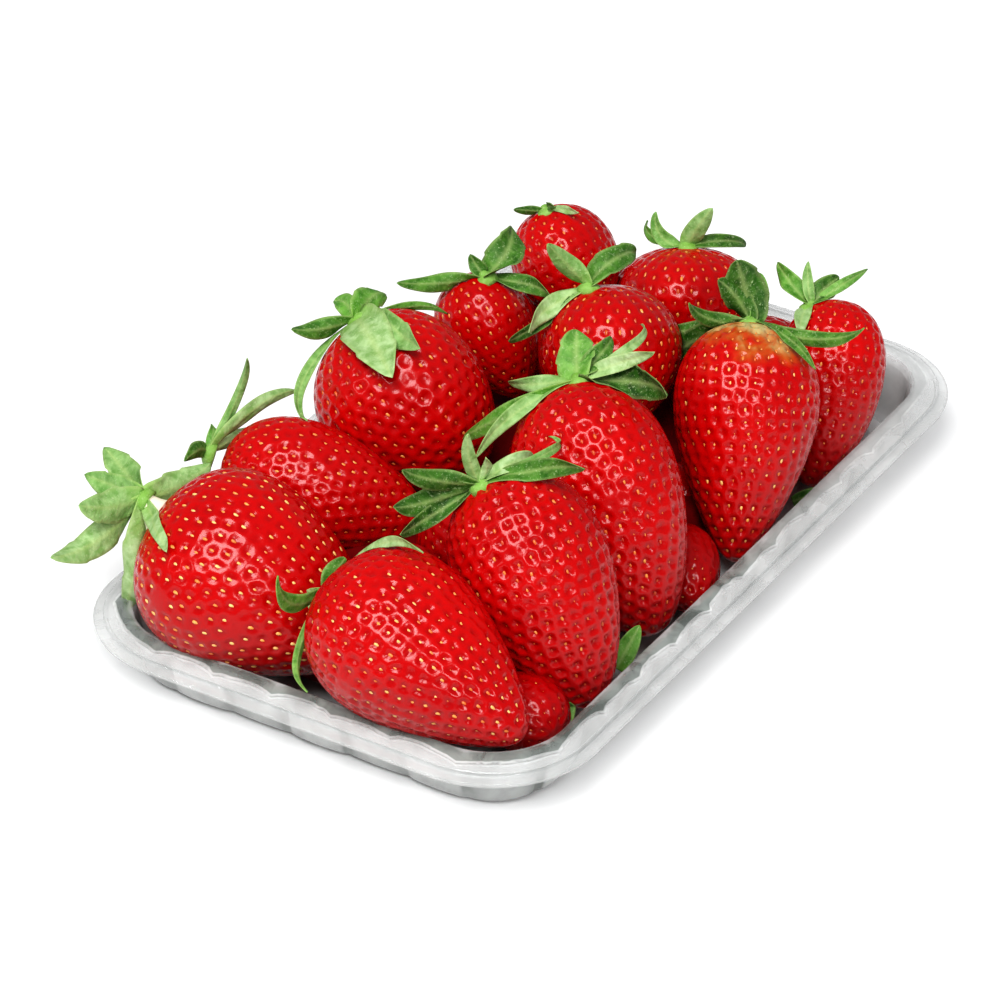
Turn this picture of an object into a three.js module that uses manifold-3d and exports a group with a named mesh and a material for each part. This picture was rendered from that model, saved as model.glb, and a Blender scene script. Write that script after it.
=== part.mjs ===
// A punnet of strawberries: a shallow tray of clear plastic sheet, heaped with fruit.
// Millimetres, +Z up, +X along the tray. The origin is the middle of the tray's underside.
import * as THREE from "three";
import { mergeVertices } from "three/addons/utils/BufferGeometryUtils.js";
import Module from "manifold-3d";

const wasm = await Module();
wasm.setup();

// ---- the tray ----
const TRAY_LENGTH = 190;
const TRAY_WIDTH = 115;
const TRAY_CORNER = 24; // plan radius of the flange's outer corners
const RIM_HEIGHT = 15; // crest of the lip round the mouth
const SHEET = 0.8; // thickness of the plastic
const FLANGE = 8; // width of the flange round the mouth
const FLANGE_DROP = 2.6; // the flange's outer edge is this much below the crest
const WALL_DRAFT = 3; // how far the wall leans in from mouth to floor
const FLUTES = 18; // pairs of one tall and one short flute round the wall
const FLUTE_SAMPLES = 6; // spokes to a pair
const FLUTE_DEPTH = 1.2;
const SHORT_FLUTE = 0.5; // depth of a short flute as a share of a tall one

// ---- the fruit ----
const CLEARANCE = 0.4; // gap between the fruit and the tray
const FRUIT_SIDES = 12;
const FRUIT_RINGS = 7;
const FILLER_SIDES = 9;
const FILLER_RINGS = 5;
const LOBING = 0.03; // how far a berry strays from round
const LEAF_THICKNESS = 0.7;
const LEAF_STEPS = 3;
const LEAF_FOLD = 0.3; // rise of a leaf's edges over its midrib as a share of its half width
const LEAF_WAVE = 0.16; // waviness of a leaf's edges as a share of its half width
const HUB_RADIUS = 2.6; // the pad on the crown that the leaves grow from

// Each berry has the middle of its crown, its tip, its greatest width and its taper. cap shifts
// the pad of leaves off the crown, on a neck where there is one. A leaf is [turn about the stem,
// length, width, rise out of the crown's plane, further bend, swing sideways, roll about its own
// length], in degrees and millimetres: the last three grow along the leaf.
const UPPER_BERRIES = [
  {
    crown: [-73, 46, 30], tip: [-67, -2, 14], width: 40, taper: 0.35, cap: [0, 2, 6], neck: true,
    leaves: [
      [-160, 21, 7, 40, 15, 0, 45], [-135, 19, 6, 50, 10, 10, -35], [0, 17, 7.5, 20, 15, 25, 50],
      [-40, 27, 7, 10, 10, 65, 80], [-45, 28, 6.5, -30, 40, -70, 95],
      [175, 18, 7.5, -35, 30, -10, -70], [-145, 17, 6, -35, 20, -5, -5],
      [15, 23, 3.5, -45, 20, 10, -35],
    ],
  },
  {
    crown: [-45, 48, 30], tip: [-29, 9, 19], width: 26, taper: 0.28, cap: [-1, 3, 1],
    leaves: [
      [110, 27, 3.5, -25, -10, 95, -50], [140, 15, 3, -40, 15, 60, -75],
      [55, 12, 3.5, 15, 5, -75, 35],
    ],
  },
  {
    crown: [-10, 41, 45], tip: [-9, 9, 20], width: 35, taper: 0.12, cap: [2, -2, 2.5],
    leaves: [
      [-40, 16, 4.5, 25, 5, 60, 90], [-165, 11, 4.5, 55, -40, 65, -15],
      [135, 13, 6.5, 25, -55, 90, -110], [45, 26, 11, -20, -30, -20, -20],
      [70, 26, 7.5, -35, 5, -25, 35],
    ],
  },
  {
    crown: [22, 32, 45], tip: [21, 16, 21], width: 20, taper: 0.3, cap: [0, -6, 1.5],
    leaves: [
      [-45, 21, 4, 20, 10, 50, 115], [135, 15, 8.5, 15, 20, 80, 80],
      [135, 20, 4, -35, 20, -100, 70], [-75, 6, 3.5, 80, 10, 0, -80],
    ],
  },
  {
    crown: [64, 38, 39], tip: [60, 22, 19], width: 23, taper: 0.08, cap: [-2, -3, 1.5],
    leaves: [
      
    ],
  },
  {
    crown: [-75, 2, 32], tip: [-80, -46, 17], width: 34, taper: 0.45,
    leaves: [
      [100, 8, 5, 0, -10, 5, -90], [-75, 10, 6, 15, -30, -10, 85], [-15, 23, 4, 0, 15, 105, 20],
    ],
  },
  {
    crown: [-45, -17, 48], tip: [-52, -45, 7], width: 31, taper: 0.3, cap: [-4, 0, 0],
    leaves: [
      [45, 14, 3, 60, -15, 45, -25], [140, 28, 4.5, -5, -5, -75, 100],
      [135, 17, 3.5, 20, -45, 95, 100], [-25, 20, 4.5, 30, 0, 60, 95],
      [-50, 22, 5.5, 5, 10, 90, 120], [-50, 25, 4, -10, 15, 100, -110],
    ],
  },
  {
    crown: [-11, -13, 50], tip: [-24, -43, 7], width: 33, taper: 0.27, cap: [1, -3, 1.5],
    leaves: [
      [-155, 12, 8.5, 65, -20, 10, 45], [150, 14, 4.5, 30, -10, 75, 95],
      [145, 20, 3.5, 5, -10, -55, 120], [155, 26, 8, -20, 0, -100, 90],
      [-25, 18, 3.5, 15, 0, -80, -105], [-25, 30, 3.5, 0, -30, 50, -95],
      [-15, 36, 4.5, -5, 0, -100, 115],
    ],
  },
  {
    crown: [27, -2, 51], tip: [16, -8, 23], width: 30, taper: 0.12, cap: [-4, 3, 0.5],
    leaves: [
      [25, 15, 4.5, 45, -10, 30, 90], [-175, 17, 6, 65, -85, 75, 85],
      [-135, 10, 5, 50, -20, 40, 45], [0, 20, 4.5, -25, 0, 90, -80],
    ],
  },
  {
    crown: [61, -1, 43], tip: [52, -6, 19], width: 29, taper: 0.28,
    leaves: [
      [0, 12, 3.5, -5, 110, 5, -115], [110, 12, 4.5, 50, 0, 50, -75],
      [170, 17, 3, 20, -45, 90, 110],
    ],
  },
  {
    crown: [35, -31, 47], tip: [9, -43, 6], width: 30, taper: 0.45,
    leaves: [
      [55, 15, 9.5, 75, -40, 20, 40], [35, 13, 6, 60, -45, 20, 80],
      [170, 11, 3.5, 55, 60, -10, -95], [0, 17, 3.5, -10, 40, 75, 105],
      [-25, 24, 4.5, -10, 5, 0, 110], [-10, 29, 6, -15, -15, -65, 85],
      [-165, 29, 3.5, -20, 40, -80, -115],
    ],
  },
  {
    crown: [65, -37, 39], tip: [44, -42, 5], width: 23, taper: 0.28, cap: [-5, 5, -1],
    leaves: [
      [0, 14, 4.5, 40, -5, -50, -85], [-130, 10, 5.5, 65, -30, 5, 75],
      [75, 12, 3.5, -15, -40, 45, -10],
    ],
  },
];

// Plain berries that fill the middle, the back and the floor of the heap.
const FILLER_BERRIES = [
  { crown: [-47, 4, 26], tip: [-58, -4, 8], width: 20, taper: 0.25 },
  { crown: [-34, 4, 27], tip: [-23, -12, 12], width: 24, taper: 0.25 },
  { crown: [-5, -16, 17], tip: [12, 7, 23], width: 24, taper: 0.25 },
  { crown: [16, 23, 19], tip: [3, 48, 12], width: 23, taper: 0.25 },
  { crown: [29, 8, 22], tip: [55, 18, 24], width: 24, taper: 0.25 },
  { crown: [76, 1, 23], tip: [75, 27, 12], width: 23, taper: 0.25 },
  { crown: [36, -28, 21], tip: [53, -9, 15], width: 22, taper: 0.25 },
  { crown: [61, -27, 16], tip: [79, -5, 9], width: 24, taper: 0.25 },
  { crown: [52, 42, 23], tip: [31, 34, 12], width: 22, taper: 0.25 },
  { crown: [62, 29, 11], tip: [80, 41, 17], width: 22, taper: 0.25 },
  { crown: [-68, -46, 10], tip: [-61, -26, 10], width: 16, taper: 0.25 },
  { crown: [4, -30, 10], tip: [-12, -46, 9], width: 16, taper: 0.25 },
  { crown: [52, -37, 10], tip: [74, -30, 10], width: 17, taper: 0.25 },
  { crown: [18, -31, 10], tip: [22, -9, 9], width: 15, taper: 0.25 },
];

// The packed middle of the heap, between the berries: [half length, half width, height].
const CORE_RINGS = [
  [70, 33, 2],
  [74, 37, 8],
  [71, 34, 15],
  [56, 20, 24],
];
const CORE_SIDES = 16;

const radians = THREE.MathUtils.degToRad;
const vector = (list) => new THREE.Vector3(...list);

// ---- closed surfaces ----

function surface(points, faces) {
  const geometry = new THREE.BufferGeometry();
  const flat = points.flatMap((point) => [point.x, point.y, point.z]);
  geometry.setAttribute("position", new THREE.Float32BufferAttribute(flat, 3));
  geometry.setIndex(faces.flat());
  return geometry;
}

// A skin over rings of points, closed to a single point at each end.
function loft(start, rings, end) {
  const sides = rings[0].length;
  const points = [start, ...rings.flat(), end];
  const last = points.length - 1;
  const faces = [];
  for (let i = 0; i < sides; i += 1) {
    const next = (i + 1) % sides;
    faces.push([0, 1 + i, 1 + next]);
    faces.push([last, last - sides + next, last - sides + i]);
    for (let ring = 0; ring < rings.length - 1; ring += 1) {
      const here = 1 + ring * sides;
      const there = here + sides;
      faces.push([here + i, there + i, there + next]);
      faces.push([here + i, there + next, here + next]);
    }
  }
  return surface(points, faces);
}

// A thin plate over rows of points, its two faces triangulated alike.
function plate(rows, normals, thickness) {
  const across = rows[0].length;
  const count = rows.length * across;
  const shifted = (side) => rows.flatMap((row, r) =>
    row.map((point) => point.clone().addScaledVector(normals[r], (side * thickness) / 2)));
  const faces = [];
  for (let r = 0; r < rows.length - 1; r += 1) {
    for (let c = 0; c < across - 1; c += 1) {
      const a = r * across + c;
      const quad = [a, a + 1, a + across + 1, a + across];
      faces.push([quad[0], quad[1], quad[2]], [quad[0], quad[2], quad[3]]);
      const back = quad.map((index) => index + count);
      faces.push([back[0], back[2], back[1]], [back[0], back[3], back[2]]);
    }
  }
  const border = [];
  for (let c = 0; c < across; c += 1) border.push(c);
  for (let r = 1; r < rows.length; r += 1) border.push(r * across + across - 1);
  for (let c = across - 2; c >= 0; c -= 1) border.push((rows.length - 1) * across + c);
  for (let r = rows.length - 2; r > 0; r -= 1) border.push(r * across);
  border.forEach((a, i) => {
    const b = border[(i + 1) % border.length];
    faces.push([a, a + count, b + count], [a, b + count, b]);
  });
  return surface([...shifted(1), ...shifted(-1)], faces);
}

function solid(geometry) {
  const merged = mergeVertices(geometry, 1e-5);
  const triVerts = new Uint32Array(merged.index.array);
  const vertProperties = new Float32Array(merged.attributes.position.array);
  const made = new wasm.Manifold(new wasm.Mesh({ numProp: 3, vertProperties, triVerts }));
  if (made.volume() > 0) return made;
  for (let i = 0; i < triVerts.length; i += 3) triVerts.subarray(i, i + 3).reverse();
  return new wasm.Manifold(new wasm.Mesh({ numProp: 3, vertProperties, triVerts }));
}

// The geometry of a solid's largest shell: sealed hollows are filled and loose scraps dropped.
function outerShell(body) {
  const { vertProperties, triVerts } = body.getMesh();
  const group = Array.from({ length: vertProperties.length / 3 }, (_, i) => i);
  const root = (i) => {
    let found = i;
    while (group[found] !== found) found = group[found];
    group[i] = found;
    return found;
  };
  for (let i = 0; i < triVerts.length; i += 3) {
    group[root(triVerts[i + 1])] = root(triVerts[i]);
    group[root(triVerts[i + 2])] = root(triVerts[i]);
  }
  const corner = (i) => new THREE.Vector3().fromArray(vertProperties, 3 * triVerts[i]);
  const volumes = new Map();
  for (let i = 0; i < triVerts.length; i += 3) {
    const shell = root(triVerts[i]);
    const wedge = corner(i).dot(corner(i + 1).cross(corner(i + 2))) / 6;
    volumes.set(shell, (volumes.get(shell) ?? 0) + wedge);
  }
  const [largest] = [...volumes].sort((a, b) => b[1] - a[1])[0];
  const kept = [];
  for (let i = 0; i < triVerts.length; i += 3) {
    if (root(triVerts[i]) === largest) kept.push(...triVerts.slice(i, i + 3));
  }
  const geometry = new THREE.BufferGeometry();
  geometry.setAttribute("position", new THREE.Float32BufferAttribute(vertProperties, 3));
  geometry.setIndex(kept);
  return geometry;
}

// ---- the tray ----

// Places evenly spaced round the wall: a point on the plan's inner frame and the way out of it.
function spokes(count) {
  const cx = TRAY_LENGTH / 2 - TRAY_CORNER;
  const cy = TRAY_WIDTH / 2 - TRAY_CORNER;
  const turn = (Math.PI / 2) * (TRAY_CORNER - FLANGE - WALL_DRAFT);
  const corners = [[cx, -cy], [cx, cy], [-cx, cy], [-cx, -cy]];
  const runs = corners.flatMap(([x, y], i) => {
    const [toX, toY] = corners[(i + 1) % 4];
    const straight = (t) => ({ x: x + (toX - x) * t, y: y + (toY - y) * t, angle: i * 90 });
    const bend = (t) => ({ x: toX, y: toY, angle: (i + t) * 90 });
    return [
      { length: Math.hypot(toX - x, toY - y), at: straight },
      { length: turn, at: bend },
    ];
  });
  const total = runs.reduce((sum, run) => sum + run.length, 0);
  return Array.from({ length: count }, (_, i) => {
    let along = (i / count) * total;
    let run = 0;
    while (along > runs[run].length) {
      along -= runs[run].length;
      run += 1;
    }
    return { ...runs[run].at(along / runs[run].length), phase: (i / count) * FLUTES };
  });
}

// How far a flute stands out of the wall, from 0 to 1, at a place counted in pairs of flutes.
function fluting(phase) {
  const wave = Math.sin(2 * Math.PI * phase);
  const height = Math.sqrt(Math.abs(wave));
  return wave > 0 ? height : SHORT_FLUTE * height;
}

// The tray's upper skin from floor to flange edge: [inset from the edge, height, fluting].
const FOOT = FLANGE + WALL_DRAFT;
const SKIN = [
  [FOOT + 5, SHEET, 0],
  [FOOT + 1.5, SHEET, 0.3],
  [FOOT - 0.2, SHEET + 2.2, 1],
  [FLANGE + 1.3, RIM_HEIGHT - 4.2, 1],
  [FLANGE + 0.3, RIM_HEIGHT - 1.6, 0],
  [FLANGE - 0.7, RIM_HEIGHT, 0],
  [2.6, RIM_HEIGHT - 1.2, 0],
  [2, RIM_HEIGHT - 2, 0],
  [0, RIM_HEIGHT - FLANGE_DROP, 0],
];

// A skin moved square to itself: a positive distance is down and out.
function offsetSkin(skin, distance) {
  return skin.map(([inset, height, flute], i) => {
    const before = skin[Math.max(i - 1, 0)];
    const after = skin[Math.min(i + 1, skin.length - 1)];
    const out = before[0] - after[0];
    const up = after[1] - before[1];
    const scale = distance / Math.hypot(out, up);
    return [inset - up * scale, height - out * scale, flute];
  });
}

function skinRings(skin, places) {
  return skin.map(([inset, height, flute]) => places.map(({ x, y, angle, phase }) => {
    const reach = TRAY_CORNER - inset + FLUTE_DEPTH * flute * fluting(phase);
    const heading = radians(angle);
    return new THREE.Vector3(x + reach * Math.cos(heading), y + reach * Math.sin(heading), height);
  }));
}

function tray() {
  const places = spokes(FLUTES * FLUTE_SAMPLES);
  const under = offsetSkin(SKIN, SHEET).reverse();
  const rings = [...skinRings(SKIN, places), ...skinRings(under, places)];
  return loft(new THREE.Vector3(0, 0, SHEET), rings, new THREE.Vector3(0, 0, 0));
}

// Everything the fruit must stay clear of: the tray with its clearance, down to below its floor.
function trayRoom() {
  const depth = -10;
  const plain = SKIN.map(([inset, height]) => [inset, height, 0]);
  const skin = [...offsetSkin(plain, -CLEARANCE), [-CLEARANCE, depth, 0]];
  const floor = new THREE.Vector3(0, 0, SHEET + CLEARANCE);
  return loft(floor, skinRings(skin, spokes(44)), new THREE.Vector3(0, 0, depth));
}

// ---- the fruit ----

// Unit vectors of a berry: out along the stem, level, and up across both.
function berryFrame({ crown, tip }) {
  const stem = vector(crown).sub(vector(tip)).normalize();
  const level = new THREE.Vector3(0, 0, 1).cross(stem).normalize();
  return { stem, level, up: stem.clone().cross(level) };
}

// A berry is widest nearer its crown, and slightly lobed.
function berryBody(berry, index, sides, ringCount) {
  const { level, up } = berryFrame(berry);
  const crown = vector(berry.crown);
  const tip = vector(berry.tip);
  const girth = (angle) => Math.sin(angle) * (1 + berry.taper * Math.cos(angle));
  let widest = 0;
  for (let angle = 0; angle < Math.PI; angle += 0.01) widest = Math.max(widest, girth(angle));
  const rings = [];
  for (let ring = 1; ring < ringCount; ring += 1) {
    const angle = (Math.PI * ring) / ringCount;
    const middle = crown.clone().lerp(tip, (1 - Math.cos(angle)) / 2);
    const radius = ((berry.width / 2) * girth(angle)) / widest;
    rings.push(Array.from({ length: sides }, (_, side) => {
      const around = (2 * Math.PI * side) / sides;
      const lobed = radius * (1 + LOBING * Math.cos(3 * around + index));
      return middle.clone()
        .addScaledVector(level, lobed * Math.cos(around))
        .addScaledVector(up, lobed * Math.sin(around));
    }));
  }
  return loft(crown, rings, tip);
}

function leafRoot(berry) {
  return vector(berry.crown).add(vector(berry.cap ?? [0, 0, 0]));
}

function hub(berry) {
  const pad = new THREE.IcosahedronGeometry(HUB_RADIUS, 0);
  pad.deleteAttribute("normal");
  pad.deleteAttribute("uv");
  const root = leafRoot(berry);
  pad.translate(root.x, root.y, root.z);
  return pad;
}

// The neck between the crown and a raised hub.
function neck(berry) {
  const { level, up } = berryFrame(berry);
  const root = leafRoot(berry);
  const foot = vector(berry.crown).lerp(vector(berry.tip), 0.1);
  const rings = [[foot, 2 * HUB_RADIUS], [root, 0.8 * HUB_RADIUS]].map(([middle, radius]) =>
    Array.from({ length: 10 }, (_, side) => middle.clone()
      .addScaledVector(level, radius * Math.cos((2 * Math.PI * side) / 10))
      .addScaledVector(up, radius * Math.sin((2 * Math.PI * side) / 10))));
  return loft(foot, rings, root);
}

// A pointed leaf along a curve that bends evenly, keeled along its midrib and wavy at its edges.
function leaf(berry, [turn, length, width, rise, bend, swing, roll]) {
  const { stem, level, up } = berryFrame(berry);
  const place = leafRoot(berry);
  const rows = [];
  const normals = [];
  for (let i = 0; i <= LEAF_STEPS; i += 1) {
    const share = i / LEAF_STEPS;
    const around = radians(turn + swing * share);
    const slope = radians(rise + bend * share);
    const tilt = radians(roll * (1 - (1 - share) ** 2));
    const heading = level.clone().multiplyScalar(Math.cos(around))
      .addScaledVector(up, Math.sin(around));
    const along = heading.clone().multiplyScalar(Math.cos(slope))
      .addScaledVector(stem, Math.sin(slope));
    const flat = stem.clone().cross(heading);
    const side = flat.clone().applyAxisAngle(along, -tilt);
    const normal = along.clone().cross(side);
    const half = 0.3 + width * 0.95 * (share + 0.08) ** 0.45 * (1 - share) ** 0.68;
    const wave = LEAF_WAVE * Math.sin(6 * share + turn);
    rows.push([-1, 0, 1].map((edge) => place.clone()
      .addScaledVector(side, edge * half)
      .addScaledVector(normal, edge === 0 ? 0 : half * (LEAF_FOLD + wave * edge))));
    normals.push(normal);
    place.addScaledVector(along, length / LEAF_STEPS);
  }
  return plate(rows, normals, LEAF_THICKNESS);
}

function core() {
  const rings = CORE_RINGS.map(([halfLength, halfWidth, height]) =>
    Array.from({ length: CORE_SIDES }, (_, i) => {
      const angle = (2 * Math.PI * i) / CORE_SIDES;
      const square = (value) => Math.sign(value) * Math.sqrt(Math.abs(value));
      return new THREE.Vector3(
        halfLength * square(Math.cos(angle)),
        halfWidth * square(Math.sin(angle)),
        height,
      );
    }));
  const bottom = CORE_RINGS[0][2];
  const top = CORE_RINGS[CORE_RINGS.length - 1][2];
  return loft(new THREE.Vector3(0, 0, bottom), rings, new THREE.Vector3(0, 0, top));
}

function heap() {
  const pieces = [core()];
  UPPER_BERRIES.forEach((berry, index) => {
    pieces.push(berryBody(berry, index, FRUIT_SIDES, FRUIT_RINGS), hub(berry));
    if (berry.neck) pieces.push(neck(berry));
    pieces.push(...berry.leaves.map((shape) => leaf(berry, shape)));
  });
  FILLER_BERRIES.forEach((berry, index) => {
    pieces.push(berryBody(berry, index, FILLER_SIDES, FILLER_RINGS));
  });
  const joined = pieces.map(solid).reduce((whole, piece) => whole.add(piece));
  return outerShell(joined.subtract(solid(trayRoom())));
}

// ---- the object ----

function named(name, geometry, look) {
  geometry.computeVertexNormals();
  const mesh = new THREE.Mesh(geometry, new THREE.MeshStandardMaterial(look));
  mesh.name = name;
  return mesh;
}

const punnet = new THREE.Group();
punnet.add(
  named("tray", tray(), { color: 0xe6e9e6, roughness: 0.12, transparent: true, opacity: 0.35 }),
  named("strawberries", heap(), { color: 0xc8140e, roughness: 0.35, flatShading: true }),
);

export default punnet;
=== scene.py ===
"""The looks of a punnet of strawberries: fruit, seeds, leafy caps and a clear plastic tray."""
import math

import bpy
import numpy as np
from mathutils.bvhtree import BVHTree
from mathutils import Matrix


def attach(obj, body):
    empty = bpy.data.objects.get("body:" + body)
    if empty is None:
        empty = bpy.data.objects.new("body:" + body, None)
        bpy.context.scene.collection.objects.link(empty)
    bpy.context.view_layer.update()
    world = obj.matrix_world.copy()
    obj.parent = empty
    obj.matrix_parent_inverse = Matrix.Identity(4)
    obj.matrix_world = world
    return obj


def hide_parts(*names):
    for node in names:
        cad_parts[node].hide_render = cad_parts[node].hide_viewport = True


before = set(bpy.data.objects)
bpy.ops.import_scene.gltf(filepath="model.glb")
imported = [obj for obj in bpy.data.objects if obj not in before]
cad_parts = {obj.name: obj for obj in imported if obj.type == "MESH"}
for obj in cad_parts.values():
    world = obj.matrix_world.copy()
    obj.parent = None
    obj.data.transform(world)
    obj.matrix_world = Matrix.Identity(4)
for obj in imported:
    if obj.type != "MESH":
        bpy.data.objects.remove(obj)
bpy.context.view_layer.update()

MM = 0.001
RNG = np.random.default_rng(11)

# ---- the heap, in millimetres and degrees ----
# A berry runs from the middle of its crown to its tip. width is its greatest width, which a
# higher taper moves towards the crown. cap is the step from the crown to the root of its leaves,
# pale is how unripe its shoulder is, pit scales the relief round its seeds and gold is how light
# they are. A leaf is (turn about the stem, length, width, rise, bend, swing, roll, darkness from
# 0 to 1): it starts out at its turn and rise, and bend, swing and roll build up along it.
UPPER = [
    dict(crown=(-73, 46, 30), tip=(-67, -2, 14), width=40, taper=0.35,
         cap=(0, 2, 6), pale=0.5, pit=0.38, gold=0.75,
         leaves=[(-160, 21, 7, 40, 15, 0, 45, 0.3), (-135, 19, 6, 50, 10, 10, -35, 0.35),
                 (0, 17, 7.5, 20, 15, 25, 50, 0.25), (-40, 27, 7, 10, 10, 65, 80, 0.15),
                 (-45, 28, 6.5, -30, 40, -70, 95, 0.05), (175, 18, 7.5, -35, 30, -10, -70, 0.2),
                 (-145, 17, 6, -35, 20, -5, -5, 0.1), (15, 23, 3.5, -45, 20, 10, -35, 0.1)]),
    dict(crown=(-45, 48, 30), tip=(-29, 9, 19), width=26, taper=0.28,
         cap=(-1, 3, 1), pale=0.1, pit=0.5, gold=0.45,
         leaves=[(110, 27, 3.5, -25, -10, 95, -50, 0.15), (135, 27, 2, -15, 20, -85, -120, 0.3),
                 (140, 15, 3, -40, 15, 60, -75, 0.05), (55, 12, 3.5, 15, 5, -75, 35, 0.8),
                 (135, 8, 2.5, -5, 30, 55, 115, 0.45)]),
    dict(crown=(-10, 41, 45), tip=(-9, 9, 20), width=35, taper=0.12,
         cap=(2, -2, 2.5), pale=0, pit=0.5, gold=0.35,
         leaves=[(-40, 16, 4.5, 25, 5, 60, 90, 0.75), (-165, 11, 4.5, 55, -40, 65, -15, 0.5),
                 (135, 13, 6.5, 25, -55, 90, -110, 0.55), (45, 26, 11, -20, -30, -20, -20, 0.12),
                 (70, 26, 7.5, -35, 5, -25, 35, 0.3), (-55, 34, 2.5, 5, -45, 100, -75, 0.35),
                 (125, 24, 2, -25, -10, 95, -60, 0.55)]),
    dict(crown=(22, 32, 45), tip=(21, 16, 21), width=20, taper=0.3,
         cap=(0, -6, 1.5), pale=0, pit=0.35, gold=0.45,
         leaves=[(-45, 21, 4, 20, 10, 50, 115, 0.7), (135, 15, 8.5, 15, 20, 80, 80, 0.8),
                 (135, 20, 4, -35, 20, -100, 70, 0.8), (-75, 6, 3.5, 80, 10, 0, -80, 0.8)]),
    dict(crown=(64, 38, 39), tip=(60, 22, 19), width=23, taper=0.08,
         cap=(-2, -3, 1.5), pale=0, pit=0.5, gold=0.45,
         leaves=[(75, 6, 2, 30, -65, 0, 105, 0.9), (-20, 9, 2, 30, -15, 45, 95, 0.9),
                 (115, 10, 2, -15, -10, -45, 90, 0.05)]),
    dict(crown=(-75, 2, 32), tip=(-80, -46, 17), width=34, taper=0.45,
         pale=0.15, pit=0.62, gold=0.75,
         leaves=[(140, 30, 2.5, -5, -60, -100, 65, 0.1), (100, 8, 5, 0, -10, 5, -90, 0.75),
                 (-75, 10, 6, 15, -30, -10, 85, 0.15), (-15, 23, 4, 0, 15, 105, 20, 0.55),
                 (-60, 28, 2, 0, -60, 100, 80, 0.45)]),
    dict(crown=(-45, -17, 48), tip=(-52, -45, 7), width=31, taper=0.3,
         cap=(-4, 0, 0), pale=0, pit=0.7, gold=0.3,
         leaves=[(45, 14, 3, 60, -15, 45, -25, 0.2), (140, 28, 4.5, -5, -5, -75, 100, 0.8),
                 (135, 17, 3.5, 20, -45, 95, 100, 0.05), (-25, 20, 4.5, 30, 0, 60, 95, 0.85),
                 (-50, 22, 5.5, 5, 10, 90, 120, 0.9), (-50, 25, 4, -10, 15, 100, -110, 0.95),
                 (125, 9, 2, 45, -20, -85, -60, 0.05), (140, 30, 2, 0, 0, 105, 110, 0.35)]),
    dict(crown=(-11, -13, 50), tip=(-24, -43, 7), width=33, taper=0.27,
         cap=(1, -3, 1.5), pale=0, pit=0.62, gold=0.3,
         leaves=[(-155, 12, 8.5, 65, -20, 10, 45, 0.45), (150, 14, 4.5, 30, -10, 75, 95, 0.75),
                 (145, 20, 3.5, 5, -10, -55, 120, 0), (150, 30, 2, 10, 5, 105, 95, 0.15),
                 (155, 26, 8, -20, 0, -100, 90, 0.98), (-25, 18, 3.5, 15, 0, -80, -105, 0.2),
                 (-25, 30, 3.5, 0, -30, 50, -95, 0.25), (-15, 36, 4.5, -5, 0, -100, 115, 0.5)]),
    dict(crown=(27, -2, 51), tip=(16, -8, 23), width=30, taper=0.12,
         cap=(-4, 3, 0.5), pale=0, pit=0.4, gold=0.45,
         leaves=[(25, 15, 4.5, 45, -10, 30, 90, 0.3), (-175, 17, 6, 65, -85, 75, 85, 0.8),
                 (-135, 10, 5, 50, -20, 40, 45, 0.55), (0, 20, 4.5, -25, 0, 90, -80, 0.05),
                 (5, 30, 2.5, -45, 55, 90, -85, 0.9)]),
    dict(crown=(61, -1, 43), tip=(52, -6, 19), width=29, taper=0.28,
         pale=0.2, pit=0.4, gold=0.4,
         leaves=[(0, 12, 3.5, -5, 110, 5, -115, 0.4), (-5, 17, 2.5, 5, 20, -100, -75, 0.55),
                 (110, 12, 4.5, 50, 0, 50, -75, 0.25), (170, 17, 3, 20, -45, 90, 110, 0.85)]),
    dict(crown=(35, -31, 47), tip=(9, -43, 6), width=30, taper=0.45,
         pale=1, pit=0.6, gold=0.6,
         leaves=[(55, 15, 9.5, 75, -40, 20, 40, 0.92), (35, 13, 6, 60, -45, 20, 80, 0.92),
                 (170, 11, 3.5, 55, 60, -10, -95, 0.6), (0, 17, 3.5, -10, 40, 75, 105, 0.85),
                 (-25, 24, 4.5, -10, 5, 0, 110, 0.9), (-10, 29, 6, -15, -15, -65, 85, 0.98),
                 (-165, 29, 3.5, -20, 40, -80, -115, 0.7), (145, 24, 2.5, -10, -30, -25, 75, 0.75)]),
    dict(crown=(65, -37, 39), tip=(44, -42, 5), width=23, taper=0.28,
         cap=(-5, 5, -1), pale=0, pit=0.55, gold=0.35,
         leaves=[(0, 14, 4.5, 40, -5, -50, -85, 0.55), (10, 10, 2.5, 70, 15, 0, -115, 0.3),
                 (-130, 10, 5.5, 65, -30, 5, 75, 0.85), (-155, 17, 2.5, 50, -25, 45, 90, 0.45),
                 (75, 12, 3.5, -15, -40, 45, -10, 0.1)]),
]
# Leaves of hidden berries that peep out beside the tray's wall, as (root, inner end, leaf).
LOOSE_LEAVES = [
    ((-38.5, -42.5, 7), (-32, -38, 2), (60, 10, 4.5, 0, 0, 0, 0, 0.6)),
    ((-58.5, -42.5, 6), (-52, -38, 1), (80, 7, 3.5, 0, 0, 0, 0, 0.4)),
    ((34, -43, 7), (40, -39, 2), (20, 8, 3, 0, 0, 0, 0, 0.8)),
]
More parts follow.
